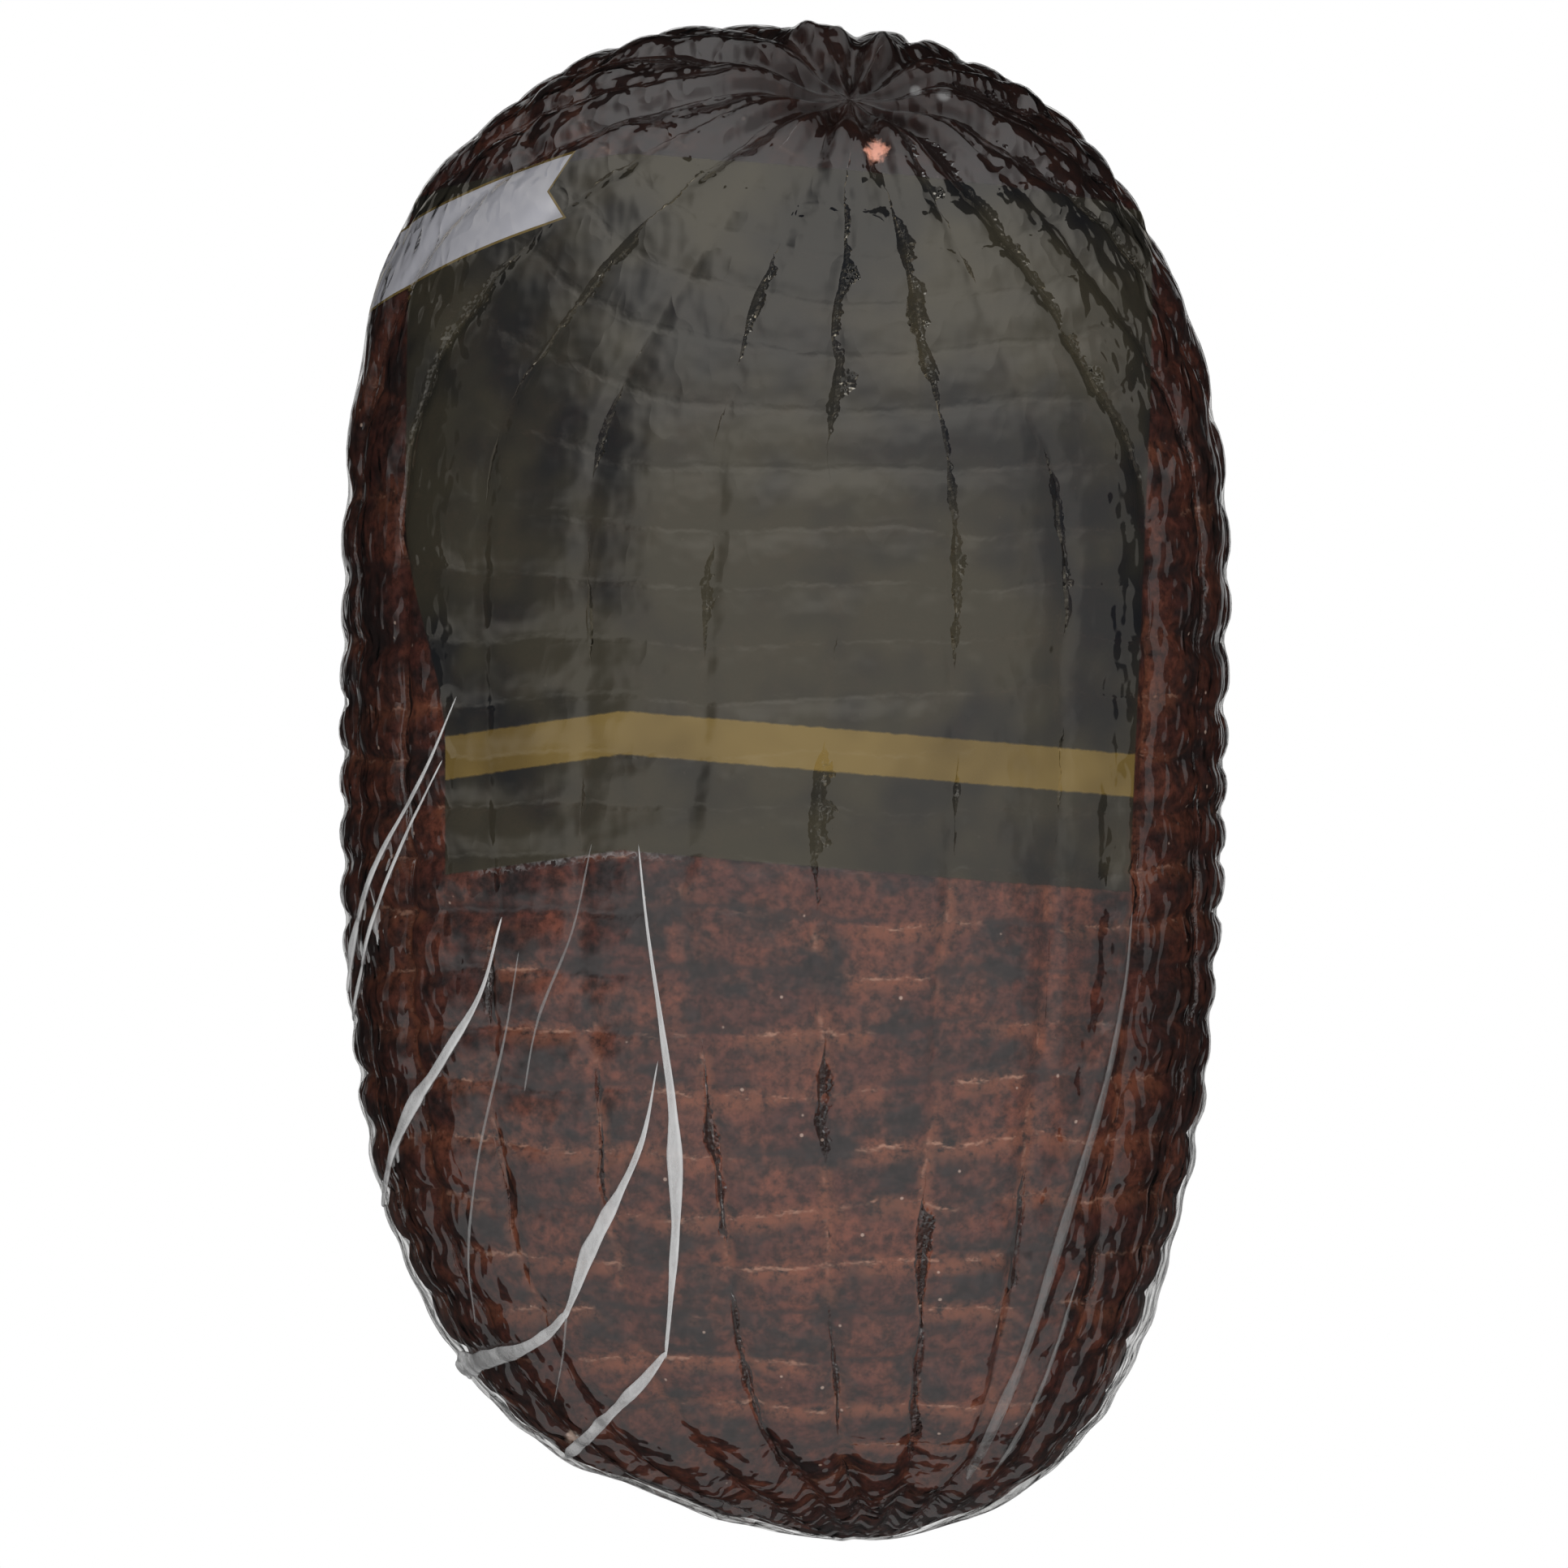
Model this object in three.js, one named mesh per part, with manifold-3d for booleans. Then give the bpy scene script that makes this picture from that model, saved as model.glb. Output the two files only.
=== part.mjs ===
// A smoked ham in a sealed shrink bag, lying on its back on a flat surface.
// The ham was cooked in a net, so its skin keeps a grid of pillows, and its +Y end is drawn
// together where the net was tied. The bag fits it all over, and its two sealed tails are
// folded flat underneath. Millimetres, +Z up, +Y towards the gathered end.
import * as THREE from 'three';
import { mergeVertices } from 'three/addons/utils/BufferGeometryUtils.js';
import Module from 'manifold-3d';

const wasm = await Module();
wasm.setup();

// Outside of the bag.
const LENGTH = 320;
const WIDTH = 188;
const TOP_RISE = 80; // from the widest level up to the top
const BELLY_DROP = 63; // from the widest level down to the belly, before it is flattened
const REST_DEPTH = 3; // how much of the belly is pressed flat by the ham's weight

// Where the widest place is, and how blunt each end is.
const GATHERED_LENGTH = 123; // from the widest place to the gathered end
const ROUND_LENGTH = LENGTH - GATHERED_LENGTH;
const GATHERED_CURVE = { bend: 2.4, root: 2.4 };
const ROUND_CURVE = { bend: 3.2, root: 2.5 };
const SECTION_BEND = 2.2; // 2 is an ellipse, and more is squarer
const ROUND_END_LEAN = 14.5; // the round end's tip lies this far to +X
const GATHERED_END_LEAN = -2.2;

// The gather sits on the upper shoulder of its end, a little to +X. Angles turn the net's axis.
const GATHER_TILT = THREE.MathUtils.degToRad(26);
const GATHER_SWING = THREE.MathUtils.degToRad(9);

// The net: lines along the ham, rings around it, and how deep each is pressed in.
const NET_LINES = 22;
const NET_RINGS = 31;
const NET_PHASE = 0.45; // of a line's pitch, which sets how far the lines are from the top's middle
const LINE_DEPTH = 1.4;
const RING_DEPTH = 0.9;
const GATHER_DEPTH = 1.6; // further depth of the lines as they run into the gather

// The bag's wall stands in for a film of less than 0.1 mm.
const WALL = 0.5;
const GAP = 0.4;
const BAG_LINE_DEPTH = 0.6; // how far the tight film dips into the net's lines and rings
const BAG_RING_DEPTH = 0.4;

// The folded tails, as angles from the end's tip down under it and to each side.
const TAIL_THICKNESS = 1;
const TAIL_FOLD = THREE.MathUtils.degToRad(24);
const TAIL_EDGE = THREE.MathUtils.degToRad(52);
const TAIL_SPREAD = THREE.MathUtils.degToRad(34);
const TAIL_SINK = 2; // the tail reaches this deep, through the bag's wall, so that it joins all over
const TAIL_CELLS = { across: 12, along: 4 };
const MOUTH_SLIT = { long: 46, wide: 1.2, deep: 8 };

const sum = (a, b) => a + b;

/** Share of the full width at a place along the ham, from -1 at the round end to 1. */
function swell(along) {
  const { bend, root } = along > 0 ? GATHERED_CURVE : ROUND_CURVE;
  return Math.max(0, 1 - Math.abs(along) ** bend) ** (1 / root);
}

/** The bag's smooth outside in a direction from the ham's middle. */
function skinPoint(direction) {
  const along = THREE.MathUtils.clamp(direction.y, -1, 1);
  const side = Math.hypot(direction.x, direction.z) || 1;
  const across = direction.x / side;
  const up = direction.z / side;
  const reach = [across, up].map((v) => Math.abs(v) ** SECTION_BEND).reduce(sum) || 1;
  const size = swell(along) / reach ** (1 / SECTION_BEND);
  const lean = along < 0 ? ROUND_END_LEAN * along ** 8 : GATHERED_END_LEAN * along ** 2;
  return new THREE.Vector3(
    lean + (WIDTH / 2) * size * across,
    (along > 0 ? GATHERED_LENGTH : ROUND_LENGTH) * along,
    (up > 0 ? TOP_RISE : BELLY_DROP) * size * up,
  );
}

/** The outward normal there, from points a small step away on each side. */
function skinNormal(direction) {
  const step = 1e-3;
  const aside = new THREE.Vector3(0.31, 0.17, 0.93).cross(direction).normalize();
  const beyond = new THREE.Vector3().crossVectors(direction, aside);
  const slope = (way) => {
    const ahead = direction.clone().addScaledVector(way, step).normalize();
    const behind = direction.clone().addScaledVector(way, -step).normalize();
    return skinPoint(ahead).sub(skinPoint(behind));
  };
  const normal = slope(aside).cross(slope(beyond)).normalize();
  return normal.dot(direction) < 0 ? normal.negate() : normal;
}

/** A direction on the net's own round grid. Turn 0.25 is the top, and travel is 0 to 1. */
function netDirection(turn, travel) {
  const around = 2 * Math.PI * turn;
  const down = Math.PI * travel;
  const direction = new THREE.Vector3(
    Math.sin(down) * Math.cos(around),
    Math.cos(down),
    Math.sin(down) * Math.sin(around),
  );
  const pull = THREE.MathUtils.smoothstep(direction.y, 0, 1);
  direction.applyAxisAngle(new THREE.Vector3(1, 0, 0), GATHER_TILT * pull);
  return direction.applyAxisAngle(new THREE.Vector3(0, 0, 1), -GATHER_SWING * pull);
}

/** Values from 0 to 1 at which a curve passes evenly spaced points, from a first one on. */
function evenSteps(count, pointAt, first = 0) {
  const fine = 2000;
  const lengths = [0];
  for (let i = 1; i <= fine; i++) {
    const piece = pointAt(i / fine).distanceTo(pointAt((i - 1) / fine));
    lengths.push(lengths[i - 1] + piece);
  }
  const steps = [];
  for (let i = 0, at = 0; i <= count; i++) {
    while (at < fine && lengths[at] < (lengths[fine] * (i + first)) / count) at++;
    steps.push(at / fine);
  }
  return steps;
}

const ring = (turn) => skinPoint(netDirection(turn, 0.5));
const meridian = (travel) => skinPoint(netDirection(0.25, travel));
// Two steps to a pitch: one on the net's line or ring, and one on the pillow between.
const TURNS = evenSteps(2 * NET_LINES, ring, 2 * NET_PHASE).slice(0, -1);
const TRAVELS = evenSteps(2 * NET_RINGS, meridian);

/** 1 on the net's line or ring and 0 midway between two. */
const press = (steps) => (1 + Math.cos(Math.PI * steps)) / 2;

/** A closed skin under the bag's smooth outside, by an inset at each step of the net. */
function netSkin(insetAt, lowest) {
  const points = [];
  const columns = TURNS.length;
  for (let j = 0; j < TRAVELS.length; j++) {
    const atPole = j === 0 || j === TRAVELS.length - 1;
    for (let i = 0; i < (atPole ? 1 : columns); i++) {
      const direction = netDirection(TURNS[i], TRAVELS[j]);
      const point = skinPoint(direction);
      point.addScaledVector(skinNormal(direction), -insetAt(i, j));
      point.z = Math.max(point.z, REST_DEPTH - BELLY_DROP + lowest);
      points.push(point);
    }
  }
  const rows = TRAVELS.length - 2;
  const at = (row, i) => 1 + row * columns + (i % columns);
  const faces = [];
  for (let i = 0; i < columns; i++) {
    faces.push(0, at(0, i + 1), at(0, i));
    for (let row = 0; row < rows - 1; row++) {
      const [a, b, c, d] = [at(row, i), at(row, i + 1), at(row + 1, i + 1), at(row + 1, i)];
      faces.push(a, b, c, a, c, d);
    }
    faces.push(at(rows - 1, i), at(rows - 1, i + 1), points.length - 1);
  }
  return new THREE.BufferGeometry().setFromPoints(points).setIndex(faces);
}

/** A thin plate on the underside of one end, from the fold to the tail's edge. */
function tailPlate(end) {
  const { across, along } = TAIL_CELLS;
  const points = [];
  for (const offset of [-TAIL_SINK, TAIL_THICKNESS]) {
    for (let j = 0; j <= along; j++) {
      for (let i = 0; i <= across; i++) {
        const direction = new THREE.Vector3(0, end, 0);
        const under = TAIL_FOLD + ((TAIL_EDGE - TAIL_FOLD) * j) / along;
        direction.applyAxisAngle(new THREE.Vector3(1, 0, 0), -end * under);
        direction.applyAxisAngle(new THREE.Vector3(0, 0, 1), TAIL_SPREAD * ((2 * i) / across - 1));
        const point = skinPoint(direction);
        point.addScaledVector(skinNormal(direction), offset);
        point.z = Math.max(point.z, REST_DEPTH - BELLY_DROP);
        points.push(point);
      }
    }
  }
  const row = across + 1;
  const layer = row * (along + 1);
  const at = (level, i, j) => level * layer + j * row + i;
  const faces = [];
  const quad = (a, b, c, d) => faces.push(a, b, c, a, c, d);
  for (let j = 0; j < along; j++) {
    for (let i = 0; i < across; i++) {
      quad(at(1, i, j), at(1, i + 1, j), at(1, i + 1, j + 1), at(1, i, j + 1));
      quad(at(0, i, j), at(0, i, j + 1), at(0, i + 1, j + 1), at(0, i + 1, j));
    }
    quad(at(0, 0, j), at(1, 0, j), at(1, 0, j + 1), at(0, 0, j + 1));
    quad(at(0, across, j), at(0, across, j + 1), at(1, across, j + 1), at(1, across, j));
  }
  for (let i = 0; i < across; i++) {
    quad(at(0, i, 0), at(0, i + 1, 0), at(1, i + 1, 0), at(1, i, 0));
    quad(at(0, i, along), at(1, i, along), at(1, i + 1, along), at(0, i + 1, along));
  }
  return new THREE.BufferGeometry().setFromPoints(points).setIndex(faces);
}

/** The bag's mouth, which is heat-sealed on the real one, as a slit through tail and wall. */
function mouthSlit() {
  const direction = new THREE.Vector3(0, 1, 0);
  direction.applyAxisAngle(new THREE.Vector3(1, 0, 0), -(TAIL_FOLD + TAIL_EDGE) / 2);
  const geometry = new THREE.BoxGeometry(MOUTH_SLIT.long, MOUTH_SLIT.wide, MOUTH_SLIT.deep);
  const holder = new THREE.Object3D();
  holder.lookAt(skinNormal(direction));
  holder.position.copy(skinPoint(direction));
  holder.updateMatrix();
  return geometry.applyMatrix4(holder.matrix);
}

/** A closed geometry as a solid for joining and cutting. */
function solidOf(geometry) {
  const bare = geometry.clone();
  bare.deleteAttribute('normal');
  bare.deleteAttribute('uv');
  const merged = mergeVertices(bare);
  const vertProperties = new Float32Array(merged.attributes.position.array);
  const triVerts = new Uint32Array(merged.index.array);
  const solid = new wasm.Manifold(new wasm.Mesh({ numProp: 3, vertProperties, triVerts }));
  return solid.volume() < 0 ? solidOf(turnedOut(geometry)) : solid;
}

/** The same geometry with each face turned round. */
function turnedOut(geometry) {
  const turned = geometry.clone();
  const faces = Array.from(turned.index.array);
  turned.setIndex(faces.map((_, k) => faces[3 * Math.floor(k / 3) + 2 - (k % 3)]));
  return turned;
}

function geometryOf(solid) {
  const { vertProperties, triVerts } = solid.getMesh();
  const position = new THREE.BufferAttribute(new Float32Array(vertProperties), 3);
  const geometry = new THREE.BufferGeometry().setAttribute('position', position);
  geometry.setIndex(new THREE.BufferAttribute(new Uint32Array(triVerts), 1));
  geometry.computeVertexNormals();
  return geometry;
}

/** The cooked ham, one piece of meat with the net's pillows on it. */
function makeHam() {
  const inset = (i, j) => {
    const closeness = Math.max(0, 1 - j / (NET_RINGS / 2));
    const line = LINE_DEPTH + GATHER_DEPTH * closeness * Math.min(1, j / 4); // none at the pole itself
    return WALL + GAP + line * press(i) + RING_DEPTH * press(j);
  };
  const material = new THREE.MeshStandardMaterial({
    color: 0x3a1a12,
    roughness: 0.45,
    metalness: 0,
  });
  const ham = new THREE.Mesh(geometryOf(solidOf(netSkin(inset, WALL + GAP))), material);
  ham.name = 'ham';
  return ham;
}

/** The bag of clear film, hollow, with a tail at each end. */
function makeBag() {
  const dip = (i, j) => BAG_LINE_DEPTH * press(i) + BAG_RING_DEPTH * press(j);
  const skin = (inset) => solidOf(netSkin((i, j) => inset + dip(i, j), inset));
  const walled = skin(0).add(solidOf(tailPlate(1))).add(solidOf(tailPlate(-1)));
  const bag = walled.subtract(skin(WALL)).subtract(solidOf(mouthSlit()));
  const material = new THREE.MeshStandardMaterial({
    color: 0xc8c6c8,
    roughness: 0.08,
    metalness: 0,
    transparent: true,
    opacity: 0.25,
  });
  const mesh = new THREE.Mesh(geometryOf(bag), material);
  mesh.name = 'shrink_bag';
  return mesh;
}

// The origin is on the surface below, under the middle of the bag's length and width.
const wrappedHam = new THREE.Group();
wrappedHam.add(makeHam(), makeBag());
const bounds = new THREE.Box3().setFromObject(wrappedHam);
const middle = bounds.getCenter(new THREE.Vector3());
wrappedHam.position.set(-middle.x, -middle.y, -bounds.min.z);

export default wrappedHam;
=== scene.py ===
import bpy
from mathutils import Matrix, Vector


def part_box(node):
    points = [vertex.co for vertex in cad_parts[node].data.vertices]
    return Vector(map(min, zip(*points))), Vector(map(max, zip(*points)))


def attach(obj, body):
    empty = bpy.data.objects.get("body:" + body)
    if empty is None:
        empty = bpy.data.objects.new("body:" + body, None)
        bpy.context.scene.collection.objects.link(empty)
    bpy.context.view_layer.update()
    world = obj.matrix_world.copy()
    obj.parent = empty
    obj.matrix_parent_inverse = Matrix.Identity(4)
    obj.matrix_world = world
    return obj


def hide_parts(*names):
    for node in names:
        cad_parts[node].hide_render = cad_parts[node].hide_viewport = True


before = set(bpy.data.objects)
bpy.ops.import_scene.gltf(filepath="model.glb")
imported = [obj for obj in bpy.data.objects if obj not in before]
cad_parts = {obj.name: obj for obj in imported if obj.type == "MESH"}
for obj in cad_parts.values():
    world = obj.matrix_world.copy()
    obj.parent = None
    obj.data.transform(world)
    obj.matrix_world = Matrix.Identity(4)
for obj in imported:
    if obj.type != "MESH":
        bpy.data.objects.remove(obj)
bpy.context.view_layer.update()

import math

import bpy
import numpy as np
from mathutils import Vector

# A smoked ham in a sealed shrink bag, lying on its back. +Y is towards its gathered end.
# Lengths are in metres, and in millimetres where a name ends in _mm.
MM = 0.001
BAG_LOW, BAG_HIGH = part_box("shrink_bag")
LENGTH = BAG_HIGH.y - BAG_LOW.y
HALF_WIDTH = (BAG_HIGH.x - BAG_LOW.x) / 2

# The body: where it is widest, and how blunt each end and the cross-section are.
GATHERED_LENGTH = LENGTH * 123 / 320  # from the widest place to the gathered end
ROUND_LENGTH = LENGTH - GATHERED_LENGTH
WIDEST_Y = BAG_HIGH.y - GATHERED_LENGTH
WIDEST_Z = BAG_HIGH.z * 60 / 140
TOP_RISE = BAG_HIGH.z - WIDEST_Z
BELLY_DROP = WIDEST_Z + 3 * MM  # its curve would end 3 mm below the flat that it rests on
GATHERED_CURVE = (2.4, 2.4)
ROUND_CURVE = (3.2, 2.5)
SECTION_BEND = 2.2
ROUND_END_LEAN = 14.5 * MM
GATHERED_END_LEAN = -2.2 * MM
GATHER_TILT = math.radians(26)
GATHER_SWING = math.radians(9)

# The net: lines along the ham and rings round it, and the grid of points that carries them.
NET_LINES = 22
NET_RINGS = 31
NET_PHASE = 0.45  # the share of a line's pitch by which the first line is turned
LINE_PITCH_MM = 24  # where the ham is widest
RING_PITCH_MM = 11.5
POINTS_PER_LINE = 20
POINTS_PER_RING = 7
COLUMNS = NET_LINES * POINTS_PER_LINE
ROWS = NET_RINGS * POINTS_PER_RING


# ---------------------------------------------------------------- the body's shape

def swell(along):
    """Share of the full width at a place along the ham, from -1 at the round end to 1."""
    def curve(bend, root):
        return np.clip(1 - np.abs(along) ** bend, 0, None) ** (1 / root)
    return np.where(along > 0, curve(*GATHERED_CURVE), curve(*ROUND_CURVE))


def skin_point(direction):
    """The bag's smooth outside in each direction from the ham's middle."""
    along = np.clip(direction[..., 1], -1, 1)
    side = np.maximum(np.hypot(direction[..., 0], direction[..., 2]), 1e-9)
    across, up = direction[..., 0] / side, direction[..., 2] / side
    reach = np.abs(across) ** SECTION_BEND + np.abs(up) ** SECTION_BEND
    size = swell(along) / np.maximum(reach, 1e-9) ** (1 / SECTION_BEND)
    lean = np.where(along < 0, ROUND_END_LEAN * along ** 8, GATHERED_END_LEAN * along ** 2)
    return np.stack([
        lean + HALF_WIDTH * size * across,
        WIDEST_Y + np.where(along > 0, GATHERED_LENGTH, ROUND_LENGTH) * along,
        WIDEST_Z + np.where(up > 0, TOP_RISE, BELLY_DROP) * size * up,
    ], axis=-1)


def smoothstep(value, low, high):
    t = np.clip((value - low) / (high - low), 0, 1)
    return t * t * (3 - 2 * t)


def net_direction(turn, travel):
    """A direction on the net's own round grid. Turn 0.25 is the top, and travel is 0 to 1."""
    around, down = 2 * math.pi * turn, math.pi * travel
    x = np.sin(down) * np.cos(around)
    y = np.cos(down)
    z = np.sin(down) * np.sin(around)
    pull = smoothstep(y, 0, 1)
    tilt, swing = GATHER_TILT * pull, -GATHER_SWING * pull
    y, z = y * np.cos(tilt) - z * np.sin(tilt), y * np.sin(tilt) + z * np.cos(tilt)
    x, y = x * np.cos(swing) - y * np.sin(swing), x * np.sin(swing) + y * np.cos(swing)
    return np.stack([x, y, z], axis=-1)


def even_steps(count, point_at, first=0.0):
    """Values at which a curve passes evenly spaced points. A closed one may begin some steps on."""
    fine = np.linspace(0, 1, 2001)
    points = point_at(fine)
    pieces = np.linalg.norm(np.diff(points, axis=0), axis=1)
    lengths = np.concatenate([[0], np.cumsum(pieces)])
    rounds, part = np.divmod((np.arange(count + 1) + first) / count, 1)
    return rounds + np.interp(part * lengths[-1], lengths, fine)


def net_grid():
    """Points and outward normals of the smooth outside, a row for each step along the net."""
    turns = even_steps(COLUMNS, lambda t: skin_point(net_direction(t, 0.5)),
                       NET_PHASE * POINTS_PER_LINE)[:-1]
    travels = even_steps(ROWS, lambda t: skin_point(net_direction(0.25, t)))
    turn, travel = np.meshgrid(turns, travels)
    points = skin_point(net_direction(turn, travel))
    step = 1e-3
    around = (skin_point(net_direction(turn + step, travel))
              - skin_point(net_direction(turn - step, travel)))
    onward = (skin_point(net_direction(turn, np.clip(travel + step, 0, 1)))
              - skin_point(net_direction(turn, np.clip(travel - step, 0, 1))))
    normals = np.cross(around, onward)
    normals /= np.maximum(np.linalg.norm(normals, axis=-1, keepdims=True), 1e-12)
    normals[0] = normals[1].mean(axis=0) / np.linalg.norm(normals[1].mean(axis=0))
    normals[-1] = normals[-2].mean(axis=0) / np.linalg.norm(normals[-2].mean(axis=0))
    outward = points - np.array([0, WIDEST_Y, WIDEST_Z])
    normals *= np.sign((normals * outward).sum(axis=-1, keepdims=True))
    return points, normals


POINTS, NORMALS = net_grid()
NET_U, NET_V = np.meshgrid(np.arange(COLUMNS) / COLUMNS, np.arange(ROWS + 1) / ROWS)
FROM_GATHER_MM = NET_V * NET_RINGS * RING_PITCH_MM
FROM_ROUND_END_MM = (1 - NET_V) * NET_RINGS * RING_PITCH_MM
SIDEWAYS = 1 - np.abs(NORMALS[..., 2])  # 0 where the skin faces up or down, and 1 at its sides


def soft_noise(u, v, across, along, seed):
    """Smooth noise from -1 to 1. It repeats once round in u and runs out at both ends of v."""
    lattice = np.random.default_rng(seed).uniform(-1, 1, (along + 2, across))
    x, y = np.mod(u, 1) * across, np.clip(v, 0, 1) * along
    i, j = np.floor(x).astype(int), np.floor(y).astype(int)
    fx, fy = x - i, y - j
    fx, fy = fx * fx * (3 - 2 * fx), fy * fy * (3 - 2 * fy)
    i, i2, j2 = i % across, (i + 1) % across, j + 1
    low = lattice[j, i] * (1 - fx) + lattice[j, i2] * fx
    high = lattice[j2, i] * (1 - fx) + lattice[j2, i2] * fx
    return (low * (1 - fy) + high * fy) * np.clip(np.sin(math.pi * v) * 4, 0, 1)


def net_noise(across, along, seed, layers=1):
    """Soft noise on the net's grid. Each finer layer that is added is half as strong."""
    return sum(soft_noise(NET_U, NET_V, across * 2 ** k, along * 2 ** k, seed + k) / 2 ** k
               for k in range(layers))


def net_lines_and_rings():
    """The net's coordinates with its unevenness: whole numbers lie on its lines and rings."""
    drift = 0.16 * net_noise(11, 6, 1) + 0.05 * net_noise(22, 24, 2)
    sag = 0.3 * net_noise(7, 10, 3) + 0.12 * net_noise(30, 16, 4)
    return NET_U * NET_LINES + drift, NET_V * NET_RINGS + sag


LINES, RINGS = net_lines_and_rings()


# ---------------------------------------------------------------- the reliefs

# The net's grooves. A width is where the groove has run out to about a third of its depth.
LINE_GROOVE_MM, LINE_WIDTH_MM = 1.5, 1.9
RING_GROOVE_MM, RING_GROOVE_MORE_MM, RING_WIDTH_MM = 0.8, 0.7, 1.7  # more at the ham's sides
PILLOW_MM, PILLOW_MORE_MM = 0.35, 0.5

# The gather's folds, the lobes round it and the dimple at its middle, and the round end.
FOLD_DEPTH_MM = 3.8
LOBE_MM = 1.6
DIMPLE_MM = 5.5
END_FOLD_DEPTH_MM = 1.6
END_LEANER_MM = 3.0

# Each swelling or dent: its place across and along, its radius and its height, in millimetres.
FULL_SHOULDERS = ((-24, 152, 18, 1.8), (-82, 115, 28, 2.6))
GATHER_KNUCKLES = ((4, 156, 4.6, 3.2), (12, 155.5, 4.0, 3.0), (20, 153, 4.4, 2.8))
SIDE_DENTS = ((93, -45, 15, -1.9), (92, 30, 30, -0.9))
AIR_UNDER_FILM = (78, -117, 14, 1.1)

# The bag: how far it stands off the ham, and how closely it follows the ham's grooves.
HAM_GAP_MM = 0.4
FILM_CLEARANCE_MM = 0.22
SLACK_AT_RIM_MM = 1.2
SLACK_BAND_MM = 20  # how far above and below the widest level the film stands off
CLING_ON_TOP, CLING_MORE_AT_SIDES, CLING_LOST_TO_SLACK = 0.35, 0.6, 0.45
BRIDGED_STEPS = 4

# The places, in millimetres, where a soft fold of the film runs down the ham's right side.
SOFT_FOLD = ((71.5, -2), (71, -40), (64, -66), (55, -98), (43, -132), (34, -148))
SOFT_FOLD_MM = 0.9  # the height of its crest and the depth of the hollow beside it


def smooth_route(points, steps):
    """Even steps along one smooth curve through the points, and through what else they hold."""
    points = np.array(points, float)
    ends = np.vstack([2 * points[0] - points[1], points, 2 * points[-1] - points[-2]])
    t = np.linspace(0, len(points) - 1, steps)
    i = np.minimum(t.astype(int), len(points) - 2)
    f = (t - i)[:, None]
    a, b, c, d = (ends[i + k] for k in range(4))
    return 0.5 * (2 * b + (c - a) * f + (2 * a - 5 * b + 4 * c - d) * f ** 2
                  + (3 * b - a - 3 * c + d) * f ** 3)


def from_whole(value):
    """Distance to the nearest whole number."""
    return np.abs(value - np.round(value))


def ham_relief_mm():
    """Height of the meat over its own smooth surface: pillows and lumps, and the net's grooves."""
    row_lengths = np.linalg.norm(np.roll(POINTS, -1, axis=1) - POINTS, axis=-1)
    row_lengths = row_lengths.sum(axis=1, keepdims=True)
    line_pitch = np.maximum(row_lengths / NET_LINES / MM, 0.5)
    line_gap = from_whole(LINES) * line_pitch
    ring_gap = from_whole(RINGS) * RING_PITCH_MM
    line_strength = 1 + 0.5 * net_noise(22, 12, 5)
    ring_strength = 1 + 0.7 * net_noise(30, 31, 6)
    fade = np.clip(line_pitch / 12, 0.15, 1)
    lines = LINE_GROOVE_MM * line_strength * fade * np.exp(-(line_gap / LINE_WIDTH_MM) ** 2)
    ring_depth = (RING_GROOVE_MM + RING_GROOVE_MORE_MM * SIDEWAYS) * ring_strength
    ring_depth = ring_depth * np.clip(line_pitch / 14 - 0.3, 0, 1)
    before_end = smoothstep(FROM_ROUND_END_MM, 40, 84)
    ring_depth = ring_depth * before_end
    rings = ring_depth * np.exp(-(ring_gap / RING_WIDTH_MM) ** 2)
    pillows = np.sin(math.pi * from_whole(LINES)) * np.sin(math.pi * from_whole(RINGS))
    pillows = (PILLOW_MM + PILLOW_MORE_MM * SIDEWAYS) * fade * pillows * before_end
    lumps = 1.1 * net_noise(9, 9, 7) + 0.35 * net_noise(40, 60, 8)
    lumps = lumps + (1 - before_end) * net_noise(17, 44, 9)
    return pillows + lumps - lines - rings


def gather_folds_mm():
    """The deep folds that run into the gather, and the lobes that stand up round it."""
    away = FROM_GATHER_MM
    swirl = NET_U * NET_LINES / 2 + 0.25 * net_noise(11, 20, 11)
    strength = 1 + 0.6 * net_noise(11, 8, 12)
    crease = np.exp(-(from_whole(swirl) * 3.2) ** 2)
    reach = smoothstep(away, 1.5, 9) * (1 - smoothstep(away, 16, 50))
    lobe = LOBE_MM * smoothstep(away, 6, 14) * (1 - smoothstep(away, 16, 30))
    dimple = DIMPLE_MM * (1 - smoothstep(away, 0, 21))
    return lobe - dimple - FOLD_DEPTH_MM * strength * crease * reach


def round_end_folds_mm():
    """The shallower folds that fan out from the round end."""
    away = FROM_ROUND_END_MM
    swirl = LINES + 0.2 * net_noise(22, 20, 21)
    strength = 1 + 0.7 * net_noise(22, 8, 22)
    crease = np.exp(-(from_whole(swirl) * 4.5) ** 2)
    reach = smoothstep(away, 10, 30) * (1 - smoothstep(away, 40, 80))
    return -END_FOLD_DEPTH_MM * strength * crease * reach


def skin_over(across_mm, along_mm):
    """The point of the smooth outside that lies at a place seen from above."""
    away = np.hypot(POINTS[..., 0] - across_mm * MM, POINTS[..., 1] - along_mm * MM)
    away = np.where(POINTS[..., 2] > WIDEST_Z, away, 1)
    return POINTS[np.unravel_index(np.argmin(away), away.shape)]


def swelling_mm(across_mm, along_mm, radius_mm, height_mm):
    """A round swelling over a place seen from above, or a dent where the height is negative."""
    away = np.linalg.norm(POINTS - skin_over(across_mm, along_mm), axis=-1) / MM
    return height_mm * np.exp(-(away / radius_mm) ** 2)


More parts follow.
